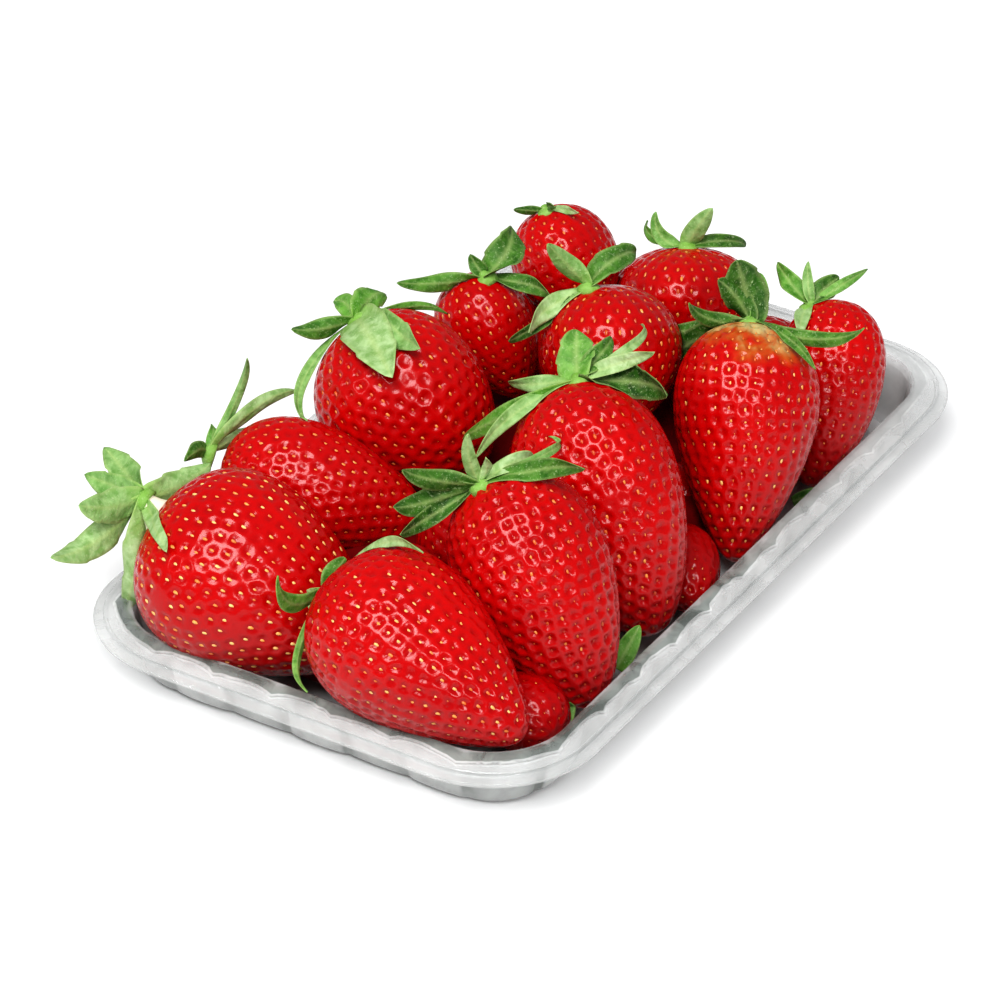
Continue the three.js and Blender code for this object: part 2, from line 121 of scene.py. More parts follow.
# Plain berries under and behind the rest, as (crown, tip, width).
FILLERS = [
    ((-47, 4, 26), (-58, -4, 8), 20), ((-34, 4, 27), (-23, -12, 12), 24),
    ((-5, -16, 17), (12, 7, 23), 24), ((16, 23, 19), (3, 48, 12), 23),
    ((29, 8, 22), (55, 18, 24), 24), ((76, 1, 23), (75, 27, 12), 23),
    ((36, -28, 21), (53, -9, 15), 22), ((61, -27, 16), (79, -5, 9), 24),
    ((52, 42, 23), (31, 34, 12), 22), ((62, 29, 11), (80, 41, 17), 22),
    ((-68, -46, 10), (-61, -26, 10), 16), ((4, -30, 10), (-12, -46, 9), 16),
    ((52, -37, 10), (74, -30, 10), 17), ((18, -31, 10), (22, -9, 9), 15),
]
CORE_RINGS = [(70, 33, 2), (74, 37, 7), (69, 32, 13), (52, 20, 18)]  # half length, half width, height
CORE_LAYERS = 14
CORE_SIDES = 48
CORE_RIPPLE = 0.03

UPPER_CELL = 0.5  # the spacing of a berry's points
FILLER_CELL = 0.62
FILLER_LOOKS = dict(taper=0.25, pale=0, pit=0.6, gold=0.4)
LOBING = 0.03  # how far a berry swells in three soft lobes, as a share of its radius
SHADE_HEIGHT = 34  # painted shade: the flesh is darker the further it lies below this height
SHOULDER_REACH = 1.5  # the angle from the crown that an unripe shoulder fades out over, in radians
OUTLINE_SHARE = 1.25  # the way over a berry from crown to tip, as a share of its length
STEP = 1e-3  # a small angle to feel out the lie of a surface with, in radians
PROFILE_STEPS = 400  # how finely a berry's outline is measured
BATCH = 2000  # points whose distances are found at one go

# ---- the seeds and the pits round them ----
SEED_SPACING = 3.2
ROW_SHARE = 0.87  # the distance between rows of seeds, as a share of their spacing
SEED_JITTER = (0.012, 0.03)  # down the berry and round it, in radians
FEW_SEEDS = 6  # a row with fewer seeds than this starts anywhere
SEED_HALF_SIZE = (0.62, 0.34, 0.26)  # down the berry, across it and out of it
SEED_SIZES = (0.85, 1.15)  # from the smallest to the largest, as shares of that
SEED_TAPER = 0.35
TONE_SPREAD = 0.35  # how far a seed's tone strays from its berry's gold value
SEED_STEPS = 4
UPPER_SEED_SIDES = 5
FILLER_SEED_SIDES = 4
SEED_RISE = 0.06  # how far a seed's middle stands above the floor of its pit
BARE_ENDS = 0.16  # no seed grows where the sine of its angle is less than this
RIDGE = 0.42  # half the width of the flat ridges between the pits
PIT_SLOPE = 0.36  # the width of a pit's side, as a share of the seeds' spacing
RIDGE_HEIGHT = 0.36  # above the plain berry, as a share of the berry's pit value
PIT_DEPTH = 1.25  # from the ridges down to the floor, as a share of the same value
PIT_FLOOR = PIT_DEPTH - RIDGE_HEIGHT  # from the plain berry down to the floor
RELIEF_ENDS = 3.0  # how quickly the relief rises away from the crown and the tip

# ---- the caps ----
LEAF_ROWS = 25
LEAF_COLUMNS = 9
LEAF_THICKNESS = 0.3
LEAF_RIM = 0.6  # the share of that thickness that is gone at the leaf's edge
LEAF_FOLD = 0.30  # this and the next two are shares of the leaf's half width
LEAF_WAVE = 0.16
LEAF_RIPPLE = 0.10
LEAF_GAP = 0.35  # between a leaf's middle surface and the berries
LEAF_PUSH = 12  # the furthest that a berry moves a point of a leaf
RIB_WIDTH = 0.16  # as a share of the leaf's half width
RIB_DEPTH = 0.10
SIDE_VEINS = 6
VEIN_SLANT = 1.1
TOOTHED_WIDTH = 5.5  # leaves that are wider than this have saw teeth
TEETH = 3
TOOTH_DEPTH = 0.12
SKIN_RINGS = 40
SKIN_SIDES = 60
SKIN_ENDS = 0.02  # the angle left open at a plain berry's crown and tip, in radians
HUB_RADIUS = 2.6
HUB_SIDES = 16
NECK_ROOT = 5  # how far inside the berry the neck starts
NECK_FLARE = 7.0
NECK_CURVE = 1.6
NECK_RADIUS = 1.9
NECK_STEPS = 10
NECK_SIDES = 24

# ---- the tray, in millimetres ----
TRAY_LENGTH = 190
TRAY_WIDTH = 115
TRAY_CORNER = 24
RIM_HEIGHT = 15
SHEET = 0.8
FLANGE = 8
FLANGE_DROP = 2.6
WALL_DRAFT = 3
FLUTES = 18
FLUTE_STEPS = 20
FLUTE_DEPTH = 1.2
SHORT_FLUTE = 0.5
SECTION_PARTS = 4  # how many parts each step of the tray's section is smoothed into
REFLECTION_END = 50  # the sheet's grey-green band of painted reflection fades out by this x, over the distance on the next line
REFLECTION_FADE = 60

# ---- colours, in linear red, green and blue; a pair is mottled from one to the other ----
FLESH_DARK = (0.38, 0.0, 0.001)
FLESH_BRIGHT = (0.48, 0.001, 0.001)
# painted shade low in the heap:
FLESH_LOW_SHADE = (0.19, 0.0, 0.002)
# painted shade in the pits:
FLESH_PIT_SHADE = (0.22, 0.0, 0.001)
UNRIPE_RED = (0.46, 0.02, 0.002)
UNRIPE_ORANGE = (0.40, 0.10, 0.012)
UNRIPE_CREAM = (0.48, 0.38, 0.16)
NECK_RED = (0.62, 0.01, 0.004)
NECK_ORANGE = (0.72, 0.22, 0.06)
NECK_CREAM = (0.80, 0.74, 0.60)
SEED_RED = (0.40, 0.02, 0.006)
SEED_ORANGE = (0.60, 0.12, 0.02)
SEED_GOLD = (0.72, 0.32, 0.07)
SEED_STRAW = (0.80, 0.52, 0.18)
LEAF_PALE = ((0.22, 0.36, 0.12), (0.43, 0.57, 0.30))
LEAF_MIDDLE = ((0.05, 0.19, 0.015), (0.14, 0.33, 0.05))
LEAF_DARK = ((0.004, 0.028, 0.001), (0.022, 0.095, 0.006))
LEAF_FRESH = (0.20, 0.42, 0.03)
LEAF_VEIN = (0.38, 0.48, 0.18)
LEAF_HAIR = (0.45, 0.56, 0.30)
# painted shade for the core down the gaps:
CORE_SHADE_DARK = (0.06, 0.0, 0.001)
CORE_SHADE_RED = (0.16, 0.001, 0.002)
PLASTIC_PALE = ((0.55, 0.56, 0.55), (0.68, 0.69, 0.68))
# painted reflection in the grey-green band:
PLASTIC_REFLECTION = ((0.09, 0.105, 0.095), (0.28, 0.31, 0.29))
# painted highlight on the arches' outline:
PLASTIC_HIGHLIGHT = (0.85, 0.87, 0.86)
# painted shade in the creases and at the step:
PLASTIC_CREASE_SHADE = (0.10, 0.11, 0.10)
PLASTIC_STEP_SHADE = (0.20, 0.21, 0.20)
FLOOR_COLOUR = (0.86, 0.86, 0.86, 1)
SKY_COLOUR = (0.95, 0.97, 1.0, 1)

# ---- the view, in degrees and metres ----
CAMERA_AZIMUTH = -58.31
CAMERA_ELEVATION = 33.13
CAMERA_DISTANCE = 1.0435
CAMERA_TARGET = (-8.31, 3.57, RIM_HEIGHT)  # in millimetres
CAMERA_LENS = 180  # in millimetres, as is the sensor
CAMERA_SENSOR = 36
CAMERA_CLIP = 0.05
FLOOR_REACH = 4
SKY_STRENGTH = 0.28
LIGHTS = [  # name, place, size, power in watts
    ("key", (-0.80, -0.20, 1.40), 0.85, 29),
    ("near", (-0.80, -1.00, 0.85), 0.32, 5),
    ("side", (-1.20, 0.65, 0.70), 0.20, 1.5),
]
LIGHTS_AIM = (0, 0, 0.02)


# ---- vectors and meshes ----

def unit(v):
    v = np.asarray(v, float)
    return v / np.linalg.norm(v)


def circle(sides):
    """Angles evenly round a circle, in radians."""
    return np.linspace(0, 2 * math.pi, sides, endpoint=False)


def axes_of(shape):
    """The berry's stem direction, a level direction and the one up across both."""
    stem = unit(np.subtract(shape["crown"], shape["tip"]))
    level = unit(np.cross((0, 0, 1), stem))
    return stem, level, np.cross(stem, level)


def length_of(shape):
    return np.linalg.norm(np.subtract(shape["crown"], shape["tip"]))


def middle_of(shape):
    return np.add(shape["crown"], shape["tip"]) / 2


def root_of(shape):
    """The root of a berry's cap, which lies on the crown unless the berry has a cap value."""
    return np.add(shape["crown"], shape.get("cap", (0, 0, 0))).astype(float)


def grid_faces(rows, columns, closed=True):
    """Quads of a grid of points, row by row; closed joins the last column to the first."""
    r, c = np.meshgrid(np.arange(rows - 1), np.arange(columns if closed else columns - 1),
                       indexing="ij")
    a = r * columns + c
    b = r * columns + (c + 1) % columns
    return np.stack([a, b, b + columns, a + columns], -1).reshape(-1, 4).tolist()


def capped_faces(rows, sides):
    """Faces of a stack of closed rings, with a flat face over the first and over the last."""
    faces = grid_faces(rows, sides)
    faces.append(list(range(sides))[::-1])
    faces.append([(rows - 1) * sides + k for k in range(sides)])
    return faces


def new_mesh(name, points, faces, material, **attributes):
    """A smooth mesh object from points in millimetres. attributes are numbers for each point."""
    mesh = bpy.data.meshes.new(name)
    mesh.from_pydata((np.asarray(points) * MM).tolist(), [], faces)
    mesh.validate()
    for key, values in attributes.items():
        layer = mesh.attributes.new(key, "FLOAT", "POINT")
        layer.data.foreach_set("value", np.asarray(values, np.float32))
    mesh.polygons.foreach_set("use_smooth", np.full(len(mesh.polygons), True))
    mesh.materials.append(material)
    obj = bpy.data.objects.new(name, mesh)
    bpy.context.scene.collection.objects.link(obj)
    return obj


def place(obj, node):
    """Says which body the piece rides and which node it replaces."""
    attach(obj, "root")
    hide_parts(node)


class Heap:
    """Points, faces and point attributes of many small closed shapes, gathered into one mesh."""

    def __init__(self):
        self.points = []
        self.faces = []
        self.attributes = {}
        self.count = 0

    def add(self, points, faces, **attributes):
        self.points.append(points)
        self.faces += [[i + self.count for i in face] for face in faces]
        for key, values in attributes.items():
            self.attributes.setdefault(key, []).append(np.broadcast_to(values, len(points)))
        self.count += len(points)

    def mesh(self, name, material):
        attributes = {key: np.concatenate(values) for key, values in self.attributes.items()}
        return new_mesh(name, np.concatenate(self.points), self.faces, material, **attributes)


# ---- materials ----

class Nodes:
    """A short way to write a material's node tree."""

    def __init__(self, name):
        self.material = bpy.data.materials.new(name)
        self.material.use_nodes = True
        self.tree = self.material.node_tree
        self.bsdf = self.tree.nodes["Principled BSDF"]

    def add(self, kind, inputs=None, **settings):
        node = self.tree.nodes.new(kind)
        for key, value in settings.items():
            setattr(node, key, value)
        for key, value in (inputs or {}).items():
            self.put(node.inputs[key], value)
        return node

    def put(self, socket, value):
        if isinstance(value, bpy.types.NodeSocket):
            self.tree.links.new(value, socket)
        else:
            socket.default_value = value

    def set(self, **inputs):
        """Sets the surface's inputs, with _ for each space in their names."""
        for key, value in inputs.items():
            self.put(self.bsdf.inputs[key.replace("_", " ")], value)

    def attribute(self, name):
        return self.add("ShaderNodeAttribute", attribute_name=name).outputs["Fac"]

    def noise(self, scale, detail, distortion=0.0):
        coords = self.add("ShaderNodeTexCoord").outputs["Object"]
        inputs = {"Vector": coords, "Scale": scale, "Detail": detail, "Distortion": distortion}
        return self.add("ShaderNodeTexNoise", inputs).outputs["Fac"]

    def ramp(self, factor, *stops):
        """A colour ramp through (position, colour) stops."""
        node = self.add("ShaderNodeValToRGB", {"Fac": factor})
        elements = node.color_ramp.elements
        while len(elements) < len(stops):
            elements.new(0.5)
        for element, (position, colour) in zip(elements, stops):
            element.position = position
            element.color = (*colour, 1)
        return node.outputs["Color"]

    def levels(self, factor, *stops):
        """A ramp through (position, value) stops, from 0 to 1."""
        return self.ramp(factor, *((position, (value, value, value)) for position, value in stops))

    def mix(self, factor, a, b):
        node = self.add("ShaderNodeMix", data_type="RGBA")
        self.put(node.inputs[0], factor)
        for socket, value in ((node.inputs[6], a), (node.inputs[7], b)):
            self.put(socket, (*value, 1) if isinstance(value, tuple) else value)
        return node.outputs[2]

    def math(self, operation, a, b, clamp=False):
        node = self.add("ShaderNodeMath", operation=operation, use_clamp=clamp)
        self.put(node.inputs[0], a)
        self.put(node.inputs[1], b)
        return node.outputs[0]

    def times(self, a, b, clamp=False):
        return self.math("MULTIPLY", a, b, clamp)

    def plus(self, a, b, clamp=False):
        return self.math("ADD", a, b, clamp)

    def bump(self, height, strength, distance):
        inputs = {"Height": height, "Strength": strength, "Distance": distance}
        return self.add("ShaderNodeBump", inputs).outputs["Normal"]


def flesh_material():
    """Red flesh, deeper with painted shade low down and in the pits, and unripe at the shoulder of a
    pale berry.
    """
    n = Nodes("flesh")
    red = n.ramp(n.noise(60, 3.0), (0.3, FLESH_DARK), (0.7, FLESH_BRIGHT))
    # painted shade: the flesh darkens low in the heap, where shade falls
    red = n.mix(n.times(n.attribute("low"), 0.7), red, FLESH_LOW_SHADE)
    # painted shade: the flesh darkens in the pits round the seeds, where shade falls
    red = n.mix(n.times(n.attribute("pit"), 0.5), red, FLESH_PIT_SHADE)
    ragged = n.times(n.noise(160, 3.0, 0.5), 1.6)
    unripe = n.times(n.attribute("shoulder"), n.attribute("pale"))
    unripe = n.times(unripe, ragged, clamp=True)
    share = n.levels(unripe, (0.30, 0), (0.60, 1))
    shade = n.ramp(unripe, (0.30, UNRIPE_RED), (0.52, UNRIPE_ORANGE), (0.75, UNRIPE_CREAM))
    n.set(Base_Color=n.mix(share, red, shade), Roughness=0.2, Specular_IOR_Level=0.28,
          Subsurface_Weight=0.1, Subsurface_Scale=0.0015)
    n.bsdf.inputs["Subsurface Radius"].default_value = (1.0, 0.05, 0.03)
    n.set(Normal=n.bump(n.noise(1100, 2.0), 0.1, 0.0003))
    return n.material


def neck_material():
    """The neck from red at its foot to cream under the cap."""
    n = Nodes("neck")
    height = n.plus(n.attribute("height"), n.times(n.noise(260, 3.0), 0.2))
    n.set(Base_Color=n.ramp(height, (0.30, NECK_RED), (0.42, NECK_ORANGE), (0.60, NECK_CREAM)),
          Roughness=0.4, Specular_IOR_Level=0.3)
    n.set(Normal=n.bump(n.noise(700, 2.0), 0.15, 0.0004))
    return n.material


def seed_material():
    """Seeds from red to straw by tone."""
    n = Nodes("seed")
    gold = n.ramp(n.attribute("tone"), (0.0, SEED_RED), (0.35, SEED_ORANGE),
                  (0.75, SEED_GOLD), (1.0, SEED_STRAW))
    n.set(Base_Color=gold, Roughness=0.3, Specular_IOR_Level=0.5)
    n.set(Normal=n.bump(n.noise(2500, 2.0), 0.2, 0.0002))
    return n.material


def leaf_material():
    """Green leaves from pale to dark by tone, fresher at the root, with paler veins and rims."""
    n = Nodes("leaf")
    tone = n.attribute("tone")
    cloud = n.levels(n.noise(420, 5.0, 0.5), (0.35, 0), (0.65, 1))
    to_middle = n.times(tone, 2.0, clamp=True)
    to_dark = n.math("SUBTRACT", n.times(tone, 2.0), 1.0, clamp=True)
    green = n.mix(to_middle, n.mix(cloud, *LEAF_PALE), n.mix(cloud, *LEAF_MIDDLE))
    green = n.mix(to_dark, green, n.mix(cloud, *LEAF_DARK))
    fresh = n.levels(n.attribute("share"), (0.0, 0.6), (0.3, 0))
    green = n.mix(n.times(fresh, n.math("SUBTRACT", 1.0, tone)), green, LEAF_FRESH)
    green = n.mix(n.times(n.attribute("vein"), 0.42), green, LEAF_VEIN)
    hairs = n.levels(n.noise(2200, 3.0, 1.0), (0.58, 0), (0.72, 0.5))
    green = n.mix(hairs, green, LEAF_HAIR)
    n.set(Base_Color=green, Roughness=0.55, Specular_IOR_Level=0.18)
    n.set(Normal=n.bump(n.noise(1100, 4.0), 0.5, 0.0005))
    return n.material


def core_shade_material():
    """Painted shade: dark red for what shows down the gaps, where shade falls."""
    n = Nodes("painted_shade_core")
    # painted shade: far darker than the flesh, for the shade down the gaps
    n.set(Base_Color=n.ramp(n.noise(60, 3.0), (0.3, CORE_SHADE_DARK), (0.7, CORE_SHADE_RED)),
          Roughness=0.6, Specular_IOR_Level=0.1)
    n.set(Normal=n.bump(n.noise(250, 3.0), 0.5, 0.001))
    return n.material


def plastic_material():
    """Thin clear plastic: pale, with a grey-green inner band of painted reflection, faint arches
    with an outline of painted highlight, and dark creases and a step line of painted shade.

    inset is the distance in from the flange's edge in millimetres, wave follows the flutes, and
    near fades the painted reflection band out towards the far end.
    """
    n = Nodes("clear_plastic")
    facing = n.add("ShaderNodeLayerWeight", {"Blend": 0.4}).outputs["Facing"]
    inset = n.attribute("inset")
    wave = n.attribute("wave")
    inward = n.math("DIVIDE", inset, 20.0)
    cloud = n.levels(n.noise(120, 4.0, 0.8), (0.38, 0), (0.62, 1))

    # The painted reflection band starts along a line of arches, one to a flute, which has a paler
    # outline of painted highlight.
    arch = n.math("SUBTRACT", inset, n.plus(n.times(wave, 1.3), 4.5))
    arch = n.math("DIVIDE", n.plus(arch, n.times(cloud, 0.5)), 4.0)
    reflection_band = n.levels(arch, (0.0, 0), (0.08, 1), (0.55, 1), (0.75, 0.2))
    # near fades the painted reflection out towards the far end of the tray
    reflection_band = n.times(reflection_band, n.plus(n.times(n.attribute("near"), 0.8), 0.2))
    # painted highlight: a pale line along the arches
    highlight_outline = n.levels(n.plus(arch, 0.5), (0.40, 0), (0.47, 1), (0.52, 1), (0.57, 0))
    highlight_outline = n.times(highlight_outline, n.plus(n.times(cloud, 0.6), 0.05))

    # A thin line of painted shade marks the flange's step, and creases of painted shade run down
    # between the flutes.
    step_shade = n.levels(n.math("DIVIDE", inset, 10.0), (0.19, 0), (0.21, 1), (0.23, 0))
    crease_shade = n.levels(wave, (0.25, 1), (0.55, 0))
    crease_shade = n.times(crease_shade, n.levels(inward, (0.42, 0), (0.46, 1), (0.54, 1), (0.58, 0)))
    crease_shade = n.times(crease_shade, n.plus(n.times(cloud, 0.6), 0.3))

    # The pale sheet takes painted reflection in the band, painted highlight on the outline and painted
    # shade in the creases and at the step.
    colour = n.mix(reflection_band, n.mix(cloud, *PLASTIC_PALE), n.mix(cloud, *PLASTIC_REFLECTION))
    colour = n.mix(highlight_outline, colour, PLASTIC_HIGHLIGHT)
    colour = n.mix(crease_shade, colour, PLASTIC_CREASE_SHADE)
    colour = n.mix(n.times(step_shade, 0.45), colour, PLASTIC_STEP_SHADE)

    sheet = n.levels(inward, (0.38, 0.28), (0.48, 0.14))
    wall = n.levels(inward, (0.40, 0), (0.44, 0.35), (0.58, 0.35), (0.64, 0))
    alpha = n.plus(n.times(facing, 0.30), sheet)
    alpha = n.plus(alpha, wall)
    alpha = n.plus(alpha, n.times(n.plus(reflection_band, highlight_outline), 0.34))
    alpha = n.plus(alpha, n.times(crease_shade, 0.4), clamp=True)
    n.set(Base_Color=colour, Alpha=alpha, Roughness=0.08, Specular_IOR_Level=0.6)
    n.set(Normal=n.bump(n.noise(160, 2.0), 0.12, 0.001))
    return n.material


# ---- the fruit ----

def girth(angle, taper):
    """The relative radius at an angle from 0 at the thicker end to pi at the pointed one."""
    return np.sin(angle) * (1 + taper * np.cos(angle))


def berry_surface(shape, index, angle, around):
    """Points on the plain berry at angles from crown to tip and angles around it, broadcast."""
    _, level, up = axes_of(shape)
    crown = np.array(shape["crown"], float)
    tip = np.array(shape["tip"], float)
    widest = girth(np.linspace(0, math.pi, PROFILE_STEPS), shape["taper"]).max()
    radius = shape["width"] / 2 * girth(angle, shape["taper"]) / widest
    radius = radius * (1 + LOBING * np.cos(3 * around + index))
    middle = crown + (tip - crown) * ((1 - np.cos(angle)) / 2)[..., None]
    return (middle + (radius * np.cos(around))[..., None] * level
            + (radius * np.sin(around))[..., None] * up)


def berry_normals(shape, index, angle, around, surface):
    """The plain berry's outward normals at its points."""
    along = berry_surface(shape, index, angle + STEP, around) - surface
    across = berry_surface(shape, index, angle, around + STEP) - surface
    normal = np.cross(across, along)
    normal /= np.linalg.norm(normal, axis=1)[:, None]
    if ((surface - middle_of(shape)) * normal).sum() < 0:
        normal = -normal
    return normal


def seed_places(shape, index, spacing):
    """(angle, around) of the seeds, in staggered rows that close evenly round the berry."""
    angles = np.linspace(0, math.pi, PROFILE_STEPS)
    radius = shape["width"] / 2 * girth(angles, shape["taper"])
    middle = (1 - np.cos(angles)) / 2 * length_of(shape)
    run = np.concatenate([[0], np.cumsum(np.hypot(np.diff(radius), np.diff(middle)))])
    rows = round(run[-1] / (spacing * ROW_SHARE))
    places = []
    for row in range(rows):
        angle = np.interp((row + 0.5) / rows * run[-1], run, angles)
        radius_here = np.interp(angle, angles, radius)
        count = max(1, round(2 * math.pi * radius_here / spacing))
        if count < FEW_SEEDS:
            turn = RNG.uniform(0, 2 * math.pi)
        else:
            turn = (row % 2) * math.pi / count + index
        for k in range(count):
            down = angle + RNG.normal(0, SEED_JITTER[0])
            places.append((down, turn + 2 * math.pi * k / count + RNG.normal(0, SEED_JITTER[1])))
    return np.array(places)


def seed_shape(steps, sides):
    """A unit teardrop lying along +X, pointed at its far end, with rows of points."""
    rows = []
    for i in range(1, steps):
        t = math.pi * i / steps
        width = girth(t, SEED_TAPER)
        rows += [(-math.cos(t), width * math.cos(a), width * math.sin(a)) for a in circle(sides)]
    points = np.array([(-1, 0, 0), *rows, (1, 0, 0)], float)
    last = len(points) - 1
    faces = [[0, 1 + (k + 1) % sides, 1 + k] for k in range(sides)]
    faces += [[last, last - sides + k, last - sides + (k + 1) % sides] for k in range(sides)]
    faces += [[1 + a for a in quad] for quad in grid_faces(steps - 1, sides)]
    return points, faces


def add_seeds(seeds, seed_mesh, shape, index, places, spots):
    """The seeds of one berry, each lying along it on the floor of its pit."""
    body, faces = seed_mesh
    for (angle, around), spot in zip(places, spots):
        if math.sin(angle) < BARE_ENDS:
            continue
        further = berry_surface(shape, index, np.array(angle + STEP), np.array(around))
        beside = berry_surface(shape, index, np.array(angle), np.array(around + STEP))
        down = unit(further - spot)
        side = unit(beside - spot)
        out = np.cross(side, down)
        if out @ (spot - middle_of(shape)) < 0:
            out = -out
        size = RNG.uniform(*SEED_SIZES) * min(1.0, 0.7 + shape["width"] / 100)
        tone = np.clip(shape["gold"] + RNG.uniform(-TONE_SPREAD, TONE_SPREAD), 0, 1)
        depth = PIT_FLOOR * shape["pit"] * min(1, RELIEF_ENDS * math.sin(angle))
        base = spot - out * (depth - SEED_RISE)
        local = body * (np.array(SEED_HALF_SIZE) * size)
        points = base + local[:, :1] * down + local[:, 1:2] * side + local[:, 2:] * out
        seeds.add(points, faces, tone=tone)


def nearest_two(points, targets):
    """Distances from each point to its nearest and next nearest target."""
    pairs = []
    for start in range(0, len(points), BATCH):
        batch = points[start:start + BATCH]
        gaps = np.linalg.norm(batch[:, None] - targets[None], axis=2)
        pairs.append(np.partition(gaps, 1, axis=1)[:, :2])
    return np.concatenate(pairs).T


def berry(name, shape, index, cell, seeds, seed_mesh, material):
    """One berry with a pit round each seed. cell is the spacing of its points."""
    rings = round(OUTLINE_SHARE * length_of(shape) / cell)
    sides = round(math.pi * shape["width"] / cell)
    angle, around = np.meshgrid(np.linspace(0, math.pi, rings + 1)[1:-1], circle(sides),
                                indexing="ij")
    angle = angle.ravel()
    around = around.ravel()
    surface = berry_surface(shape, index, angle, around)
    normal = berry_normals(shape, index, angle, around, surface)

    # Seeds are closer together on a narrow berry.
    spacing = SEED_SPACING * min(1.05, 0.6 + shape["width"] / 80)
    places = seed_places(shape, index, spacing)
    spots = berry_surface(shape, index, places[:, 0], places[:, 1])
    first, second = nearest_two(surface, spots)
    hollow = np.clip(((second - first) / 2 - RIDGE) / (PIT_SLOPE * spacing), 0, 1)
    pit = hollow * (2 - hollow)
    ends = np.clip(np.sin(angle) * RELIEF_ENDS, 0, 1)
    lift = ends * shape["pit"] * (RIDGE_HEIGHT - PIT_DEPTH * pit)
    shoulder = np.clip(1 - angle / SHOULDER_REACH, 0, 1)

    count = len(surface)
    points = np.vstack([surface + normal * lift[:, None], shape["crown"], shape["tip"]])
    faces = grid_faces(rings - 1, sides)
    faces += [[count, (k + 1) % sides, k] for k in range(sides)]
    faces += [[count + 1, count - sides + k, count - sides + (k + 1) % sides] for k in range(sides)]
    # the low and pit attributes also carry painted shade: darker flesh low in the heap and in the pits
    obj = new_mesh(name, points, faces, material,
                   pit=np.append(pit, [0, 0]), shoulder=np.append(shoulder, [1, 0]),
                   pale=np.full(count + 2, shape["pale"]),
                   low=np.clip((SHADE_HEIGHT - points[:, 2]) / SHADE_HEIGHT, 0, 1))
    add_seeds(seeds, seed_mesh, shape, index, places, spots)
    place(obj, "strawberries")


# ---- the caps ----

def plain_skin(shape, index):
    """A berry's surface without pits, to measure the leaves against."""
    angles = np.linspace(SKIN_ENDS, math.pi - SKIN_ENDS, SKIN_RINGS)
    angle, around = np.meshgrid(angles, circle(SKIN_SIDES), indexing="ij")
    points = berry_surface(shape, index, angle.ravel(), around.ravel())
    return BVHTree.FromPolygons(points.tolist(), grid_faces(SKIN_RINGS, SKIN_SIDES))


def clear_of(point, skins):
    """The point, moved straight out of any berry that it lies in or nearer to than the gap."""
    for middle, skin in skins:
        near, normal, _, _ = skin.find_nearest(point.tolist())
        near = np.array(near)
        normal = np.array(normal)
        if normal @ (near - middle) < 0:
            normal = -normal
        depth = LEAF_GAP - (point - near) @ normal
        if 0 < depth < LEAF_PUSH:
            point = point + normal * depth
    return point


def rib_at(edge):
    """How near a point is to the leaf's middle rib. edge is -1 and 1 at its two edges."""
    return math.exp(-(edge / RIB_WIDTH) ** 2)


def vein_at(share, edge):
    """How pale a leaf is from its rib, its slanting side veins or its rim."""
    ladder = max(0.0, math.cos(2 * math.pi * (share * SIDE_VEINS - abs(edge) * VEIN_SLANT))) ** 8
    return max(rib_at(edge), 0.6 * ladder * (1 - abs(edge)), 0.9 * abs(edge) ** 14)


def blade_height(half, share, edge, phase):
    """How far a leaf stands off its flat: folded along the rib, waved and rippled."""
    fold = LEAF_FOLD * abs(edge) ** 1.3
    wave = LEAF_WAVE * math.sin(6 * share + phase) * edge * abs(edge)
    ripple = LEAF_RIPPLE * math.sin(11 * share + 3 * edge + phase) * abs(edge)
    return half * (fold + wave + ripple) - RIB_DEPTH * rib_at(edge)


def blade_faces(count):
    """Faces of a leaf's top and underside, of count points each, and of the border round it."""
    quads = grid_faces(LEAF_ROWS, LEAF_COLUMNS, closed=False)
    faces = quads + [[q[0] + count, q[3] + count, q[2] + count, q[1] + count] for q in quads]
    last = LEAF_COLUMNS - 1
    border = (list(range(last))
              + [i * LEAF_COLUMNS + last for i in range(LEAF_ROWS - 1)]
              + [(LEAF_ROWS - 1) * LEAF_COLUMNS + j for j in range(last, 0, -1)]
              + [i * LEAF_COLUMNS for i in range(LEAF_ROWS - 1, 0, -1)])
    for k, a in enumerate(border):
        b = border[(k + 1) % len(border)]
        faces.append([a, a + count, b + count, b])
    return faces


def blade_half_width(width, share):
    """Half of a leaf's width at a share of its length, blunt at the root and pointed at the tip."""
    return width / 2 * 1.9 * (share + 0.08) ** 0.45 * (1 - share) ** 0.68 + 0.08


def leaf(leaves, shape, data, skins):
    """One leaf of a cap: a broad blade with a pointed tip, laid over the berries."""
    turn, length, width, rise, bend, swing, roll, tone = data
    stem, level, up = axes_of(shape)
    spot = root_of(shape)
    top = []
    under = []
    veins = []
    shares = []
    for i in range(LEAF_ROWS):
        share = i / (LEAF_ROWS - 1)
        around = math.radians(turn + swing * share)
        slope = math.radians(rise + bend * share)
        tilt = math.radians(roll) * (1 - (1 - share) ** 2)
        heading = level * math.cos(around) + up * math.sin(around)
        along = heading * math.cos(slope) + stem * math.sin(slope)
        side = np.cross(stem, heading)
        normal = np.cross(along, side)
        side, normal = (side * math.cos(tilt) + normal * math.sin(tilt),
                        normal * math.cos(tilt) - side * math.sin(tilt))
        half = blade_half_width(width, share)
        saw = 1 - TOOTH_DEPTH * (TEETH * share % 1) if width > TOOTHED_WIDTH else 1.0
        for j in range(LEAF_COLUMNS):
            edge = 2 * j / (LEAF_COLUMNS - 1) - 1
            height = blade_height(half, share, edge, turn)
            point = clear_of(spot + side * edge * half * saw + normal * height, skins)
            shell = normal * LEAF_THICKNESS / 2 * (1 - LEAF_RIM * edge ** 2)
            top.append(point + shell)
            under.append(point - shell)
            veins.append(vein_at(share, edge))
            shares.append(share)
        spot = spot + along * length / (LEAF_ROWS - 1)
    leaves.add(np.array(top + under), blade_faces(len(top)), tone=tone,
               vein=np.array(veins * 2), share=np.array(shares * 2))


